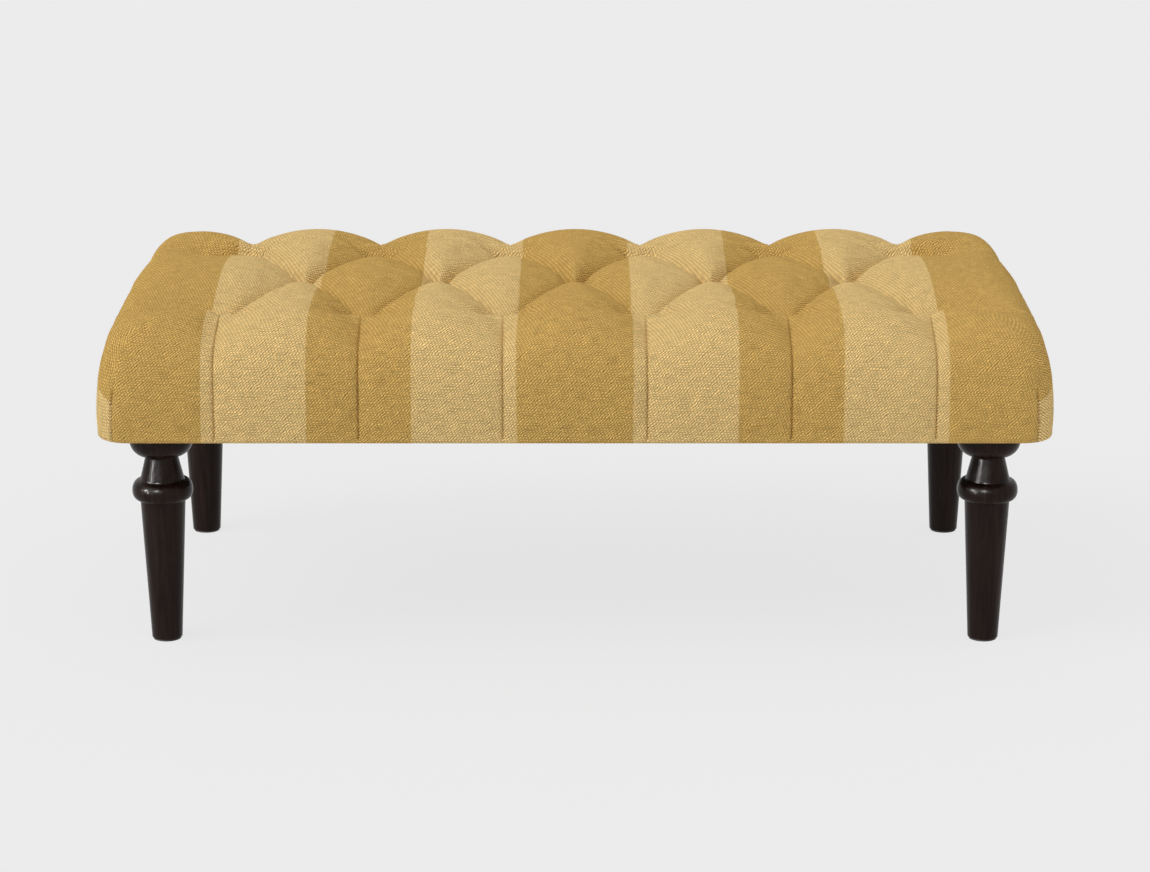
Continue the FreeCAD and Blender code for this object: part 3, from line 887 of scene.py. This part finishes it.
# %% The grain group
pore_range = (0.52, 0.68)
grain, grain_in, grain_out = shader_group(
    "wood_grain",
    [("Wood", "Vector", None), ("Streaks", "Vector", (1.0, 1.0, 1.0))],
    ["Figure", "Pores"],
)
both_inputs = {0: grain_in.outputs["Wood"], 1: grain_in.outputs["Streaks"]}
stretched = node(grain, "ShaderNodeVectorMath", both_inputs, operation="MULTIPLY").outputs[0]
figure = noise(grain, stretched, scale=1.0, detail=5.0, distortion=0.4)
pores = ranged(grain, noise(grain, stretched, scale=5.0, detail=2.0), *pore_range)
grain.links.new(figure, grain_out.inputs["Figure"])
grain.links.new(pores, grain_out.inputs["Pores"])
print("grain group:", len(grain.nodes), "nodes")

# %% The wooden finishes
streak_range = (0.35, 0.65)
pore_share = 0.5
pore_depth = 0.0003
rough_range = 0.2


def wood_finish(name, dark, light, streaks, bump_strength, **sockets):
    """A wooden finish whose grain is stretched along the board."""
    material, tree, shader = finish(name, **sockets)
    spot = node(tree, "ShaderNodeTexCoord").outputs["Object"]
    lines = node(tree, "ShaderNodeGroup", {"Wood": spot, "Streaks": streaks}, node_tree=grain)
    streak = ranged(tree, lines.outputs["Figure"], *streak_range)
    colour = mix_colour(tree, streak, srgb(*dark), srgb(*light))
    pored = calc(tree, "MULTIPLY", lines.outputs["Pores"], pore_share)
    tree.links.new(mix_colour(tree, pored, colour, srgb(*dark)), shader.inputs["Base Color"])
    least_rough = sockets["Roughness"] - 0.5 * rough_range
    varied = calc(tree, "MULTIPLY_ADD", lines.outputs["Figure"], rough_range, least_rough)
    tree.links.new(varied, shader.inputs["Roughness"])
    bumped(tree, shader, lines.outputs["Pores"], bump_strength, pore_depth, invert=True)
    return material


leg_wood = wood_finish(
    "dark_leg_wood", (26, 15, 12), (42, 28, 23), streaks=(160.0, 160.0, 9.0), bump_strength=0.25,
    Roughness=0.24, Specular_IOR_Level=0.10)
frame_wood = wood_finish(
    "frame_wood", (176, 138, 92), (206, 172, 124), streaks=(14.0, 160.0, 160.0), bump_strength=0.3,
    Roughness=0.7)
ply_wood = wood_finish(
    "plywood", (190, 152, 104), (216, 184, 138), streaks=(10.0, 120.0, 400.0), bump_strength=0.3,
    Roughness=0.75)
print("wood finishes: 3")

# %% [markdown]
# ## The turned legs
# A leg is turned on a lathe, so its whole shape follows one rule: a profile goes round an axis. The
# profile is drawn once as a curve: a straight taper, a full bead, a straight tapered neck and a bun under
# the seat. A Geometry Nodes tree bends a flat grid round the axis to that profile and puts one leg at each
# corner.

# %% The leg's profile
leg_x = 0.5 * (leg_low[0] + leg_high[0])
leg_y = 0.5 * (leg_low[1] + leg_high[1])
foot_z = leg_low[2]
leg_top = leg_high[2]
foot_radius = 0.0198
foot_round = (0.0006, 0.0008)
taper_radius = 0.0292
bead_low, bead_widest, bead_high = 0.1905, 0.2020, 0.2160
bead_radius = 0.0393
bead_step = 0.0004
bead_power = 0.75
neck_radii = (0.0287, 0.0207)
bun_low, bun_widest = 0.2488, 0.2705
bun_radius = 0.0412
bun_step = 0.0006
bun_fall = 0.0057
bead_points, neck_points, bun_points, over_points = 33, 9, 25, 9

profile = [(0.0, foot_z), (foot_radius - foot_round[0], foot_z), (foot_radius, foot_z + foot_round[1])]
profile += [(taper_radius, bead_low)]
bead_turn = np.linspace(0.0, math.pi, bead_points)
rising = bead_turn < quarter_turn
bead_half = np.where(rising, bead_widest - bead_low, bead_high - bead_widest)
bead_base = np.where(rising, taper_radius + bead_step, taper_radius)
bead_swell = between(bead_base, bead_radius, np.sin(bead_turn) ** bead_power)
profile += list(zip(bead_swell, bead_widest - bead_half * np.cos(bead_turn)))
neck = np.linspace(0.0, 1.0, neck_points)
profile += list(zip(between(*neck_radii, neck), between(bead_high, bun_low, neck)))
bun_turn = np.linspace(0.0, 1.0, bun_points)
bun_base = neck_radii[1] + bun_step
bun_swell = bun_base + (bun_radius - neck_radii[1] - bun_step) * np.sqrt(1 - (1 - bun_turn) ** 2)
profile += list(zip(bun_swell, between(bun_low, bun_widest, bun_turn)))
over = np.linspace(0.0, 1.0, over_points)[1:]
profile += list(zip(bun_radius - bun_fall * over ** 2, between(bun_widest, leg_top, over)))
profile += [(0.0, leg_top)]

curve = bpy.data.curves.new("leg_profile", "CURVE")
curve.dimensions = "3D"
spline = curve.splines.new("POLY")
spline.points.add(len(profile) - 1)
for point, (radius, height) in zip(spline.points, profile):
    point.co = (radius, 0.0, height, 1.0)
legs = linked("turned_legs_profile", curve)
print("leg profile:", len(profile), "points, leg at", round(leg_x, 4), round(leg_y, 4))

# %% [markdown]
# The tree reads the profile curve. It samples it at each row of the grid, turns the column number into
# an angle, closes the seam and the two ends by merging, and places the leg on the corners of a rectangle.

# %% The lathe tree
merge_turned = 0.00002
lathe = bpy.data.node_groups.new("turned_leg_set", "GeometryNodeTree")
lathe_inputs = {"Geometry": "Geometry", "Rows": "Int", "Sides": "Int"}
lathe_inputs.update({"Spacing X": "Float", "Spacing Y": "Float", "Finish": "Material"})
for label, kind in lathe_inputs.items():
    lathe.interface.new_socket(label, in_out="INPUT", socket_type="NodeSocket" + kind)
lathe.interface.new_socket("Geometry", in_out="OUTPUT", socket_type="NodeSocketGeometry")
given = node(lathe, "NodeGroupInput").outputs


def lathe_node(kind, links, **settings):
    """The first output of a node in the lathe tree."""
    return node(lathe, kind, links, **settings).outputs[0]


def grid_of(size_x, size_y, across, along):
    """A flat grid, made in the lathe tree."""
    links = {"Size X": size_x, "Size Y": size_y, "Vertices X": across, "Vertices Y": along}
    return lathe_node("GeometryNodeMeshGrid", links)


flat_grid = grid_of(1.0, 1.0, given["Sides"], given["Rows"])
spot = split(lathe, lathe_node("GeometryNodeInputPosition", {}))
angle = calc(lathe, "MULTIPLY", calc(lathe, "ADD", spot[0], 0.5), 2 * math.pi)
up = calc(lathe, "ADD", spot[1], 0.5)
sampled = node(
    lathe, "GeometryNodeSampleCurve", {"Curves": given["Geometry"], "Factor": up},
    mode="FACTOR", use_all_curves=True)
radius, _, height = split(lathe, sampled.outputs["Position"])
turned_x = calc(lathe, "MULTIPLY", radius, calc(lathe, "COSINE", angle))
turned_y = calc(lathe, "MULTIPLY", radius, calc(lathe, "SINE", angle))
turned = lathe_node("ShaderNodeCombineXYZ", {0: turned_x, 1: turned_y, 2: height})
bent = lathe_node("GeometryNodeSetPosition", {"Geometry": flat_grid, "Position": turned})
merged = lathe_node("GeometryNodeMergeByDistance", {"Geometry": bent, "Distance": merge_turned})
smoothed = lathe_node("GeometryNodeSetShadeSmooth", {"Geometry": merged, "Shade Smooth": True})
corners = grid_of(given["Spacing X"], given["Spacing Y"], 2, 2)
placed = lathe_node("GeometryNodeInstanceOnPoints", {"Points": corners, "Instance": smoothed})
real = lathe_node("GeometryNodeRealizeInstances", {"Geometry": placed})
coated = lathe_node("GeometryNodeSetMaterial", {"Geometry": real, "Material": given["Finish"]})
node(lathe, "NodeGroupOutput", {0: coated})
print("lathe tree:", len(lathe.nodes), "nodes")

# %% Turn the legs
leg_values = {"Rows": 220, "Sides": 73, "Finish": leg_wood}
leg_values["Spacing X"] = 2 * leg_x
leg_values["Spacing Y"] = 2 * abs(leg_y)
modifier = legs.modifiers.new(lathe.name, "NODES")
modifier.node_group = lathe
for item in lathe.interface.items_tree:
    if item.in_out == "INPUT" and item.name in leg_values:
        modifier[item.identifier] = leg_values[item.name]
depsgraph = bpy.context.evaluated_depsgraph_get()
leg_mesh = bpy.data.meshes.new_from_object(legs.evaluated_get(depsgraph), depsgraph=depsgraph)
bpy.data.objects.remove(legs)
work = bmesh.new()
work.from_mesh(leg_mesh)
bmesh.ops.recalc_face_normals(work, faces=work.faces)
work.to_mesh(leg_mesh)
work.free()
leg_mesh.name = "turned_legs"
turned_legs = linked("turned_legs", leg_mesh)
print("legs:", len(turned_legs.data.polygons), "faces")

# %% [markdown]
# ## Hidden finishes
# Under the cover there are foam, wadding, twine, steel and a black sheet. They keep the solids' shapes and
# get plain but honest finishes: cells in the foam, fibres in the wadding, a dull zinc skin on the steel.

# %% Two kinds of plain finish
speck_range = (0.3, 0.7)
plain_bump = 0.4
woven_bump_distance = 0.0003


def mottled(name, dark, light, scale, detail, bump_distance, **sockets):
    """A finish with a fine mottle on Object coordinates."""
    material, tree, shader = finish(name, **sockets)
    spot = node(tree, "ShaderNodeTexCoord").outputs["Object"]
    speck = noise(tree, spot, scale, detail)
    colour = mix_colour(tree, ranged(tree, speck, *speck_range), srgb(*dark), srgb(*light))
    tree.links.new(colour, shader.inputs["Base Color"])
    bumped(tree, shader, speck, plain_bump, bump_distance)
    return material


def woven_finish(name, dark, light, spacing, **sockets):
    """A small woven finish on Object coordinates."""
    material, tree, shader = finish(name, **sockets)
    spot = node(tree, "ShaderNodeTexCoord").outputs["Object"]
    links = {"Cloth": spot, "Float spacing": spacing, "Pick spacing": spacing}
    woven = node(tree, "ShaderNodeGroup", links, node_tree=weave)
    colour = mix_colour(tree, woven.outputs["Tone"], srgb(*dark), srgb(*light))
    tree.links.new(colour, shader.inputs["Base Color"])
    bumped(tree, shader, woven.outputs["Height"], plain_bump, woven_bump_distance)
    return material


print("plain finishes: mottled and woven")

# %% A finish for every node
finishes = {
    "striped_cloth": cover_cloth,
    "leg_wood": leg_wood,
    "frame_wood": frame_wood,
    "plywood": ply_wood,
    "seat_foam": mottled(
        "seat_foam", (214, 202, 150), (232, 222, 176), 700.0, 3.0, 0.0006, Roughness=0.95),
    "batting": mottled(
        "wadding", (222, 220, 214), (240, 239, 235), 260.0, 6.0, 0.0010, Roughness=1.0),
    "glide_plastic": mottled(
        "glide_plastic", (22, 20, 19), (34, 31, 29), 900.0, 2.0, 0.0001, Roughness=0.55),
    "dust_cloth": woven_finish(
        "black_dust_cloth", (18, 18, 19), (42, 42, 44), 0.0012, Roughness=0.9),
    "tuft_cloth": woven_finish(
        "tuft_pad_cloth", (196, 188, 170), (226, 220, 204), 0.0009, Roughness=0.95),
    "twine": woven_finish(
        "waxed_twine", (176, 150, 104), (214, 194, 150), 0.0011, Roughness=0.8),
    "zinc_steel": mottled(
        "zinc_steel", (150, 152, 155), (196, 198, 200), 420.0, 4.0, 0.0001, Roughness=0.42, Metallic=1.0),
}
dressed = 0
for subpart in frame["record"]["subparts"]:
    piece = frame["nodes"][subpart["node"]]
    for holder in piece.material_slots:
        holder.material = finishes[subpart["material_slot"]]
        dressed += 1
print("CAD nodes with a finish:", dressed)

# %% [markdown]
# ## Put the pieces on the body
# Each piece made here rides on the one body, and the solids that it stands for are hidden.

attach(cushion, "root")
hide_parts("seat_cover", "batting_wrap", "seat_foam")
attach(turned_legs, "root")
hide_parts("leg_front_left", "leg_front_right", "leg_back_left", "leg_back_right")

# %% [markdown]
# ## Floor, light and camera
# The floor is a wide pale sheet. To the camera it shows mostly its own pale colour, and the rest of it takes
# the object's soft shadow. From below it is clear, so the underside can be looked at. A broad sun from the
# upper left and an even sky light the object at a plain level, where a colour comes out about as it is
# written. Three small lamps that only gloss sees put the streaks of light on the lacquered legs.

# %% The stage
floor_reach = 40.0
floor_glow_share = 0.89
sky_strength = 0.70
white = (1.0, 1.0, 1.0, 1.0)
backdrop_colour = srgb(236, 236, 236)

scene = bpy.context.scene
scene.view_settings.view_transform = "Standard"
floor_mesh = bpy.data.meshes.new("studio_floor")
floor_corners = [(x * floor_reach, y * floor_reach, 0) for x, y in ((-1, -1), (1, -1), (1, 1), (-1, 1))]
floor_mesh.from_pydata(floor_corners, [], [(0, 1, 2, 3)])
floor = linked("studio_floor", floor_mesh)


def seen_directly(tree):
    """1 for rays from the camera, from gloss and through glass."""
    path = node(tree, "ShaderNodeLightPath")
    seen = calc(tree, "MAXIMUM", path.outputs["Is Camera Ray"], path.outputs["Is Glossy Ray"])
    return calc(tree, "MAXIMUM", seen, path.outputs["Is Transmission Ray"])


floor_finish = bpy.data.materials.new("pale_floor")
tree = empty_tree(floor_finish)
matte = node(tree, "ShaderNodeBsdfDiffuse", {"Color": backdrop_colour})
glow = node(tree, "ShaderNodeEmission", {"Color": backdrop_colour, "Strength": 1.0})
glow_share = calc(tree, "MULTIPLY", seen_directly(tree), floor_glow_share)
both = node(tree, "ShaderNodeMixShader", {0: glow_share, 1: matte.outputs[0], 2: glow.outputs[0]})
below = node(tree, "ShaderNodeNewGeometry").outputs["Backfacing"]
clear = node(tree, "ShaderNodeBsdfTransparent")
one_sided = node(tree, "ShaderNodeMixShader", {0: below, 1: both.outputs[0], 2: clear.outputs[0]})
node(tree, "ShaderNodeOutputMaterial", {"Surface": one_sided.outputs[0]})
floor_mesh.materials.append(floor_finish)

world = bpy.data.worlds.new("studio_sky")
scene.world = world
tree = empty_tree(world)
sky = node(tree, "ShaderNodeBackground", {"Color": white, "Strength": sky_strength})
pale = node(tree, "ShaderNodeBackground", {"Color": backdrop_colour, "Strength": 1.0})
both = node(tree, "ShaderNodeMixShader", {0: seen_directly(tree), 1: sky.outputs[0], 2: pale.outputs[0]})
node(tree, "ShaderNodeOutputWorld", {"Surface": both.outputs[0]})
print("floor and sky ready")


# %% Lamps and camera
def sun(name, towards, strength, spread):
    """A distant lamp that shines from a direction, with a spread in degrees."""
    lamp = bpy.data.lights.new(name, "SUN")
    lamp.energy = strength
    lamp.angle = math.radians(spread)
    made = linked(name, lamp)
    tilt = math.atan2(math.hypot(towards[0], towards[1]), towards[2])
    made.rotation_euler = (tilt, 0.0, math.atan2(towards[0], -towards[1]))
    return made


sun("key_light", (-0.65, -0.32, 0.72), strength=1.2, spread=36.0)
glint_spread = 5.0
for name, towards, strength in (
    ("side_glint", (-0.864, -0.416, 0.345), 4.0),
    ("front_glint", (-0.294, -0.837, 0.426), 5.0),
    ("neck_glint", (-0.795, -0.589, 0.144), 1.8),
):
    glint = sun(name, towards, strength, glint_spread)
    glint.visible_diffuse = False

lens_data = bpy.data.cameras.new("studio_camera")
lens_data.sensor_width = 36.0
lens_data.sensor_fit = "HORIZONTAL"
lens_data.lens = 106.39
lens_data.clip_end = 200.0
camera = linked("studio_camera", lens_data)
camera.location = (0.0, -4.4900, 1.4126)
camera.rotation_euler = (math.radians(74.97), 0.0, 0.0)
scene.camera = camera
print("camera at", [round(v, 3) for v in camera.location])
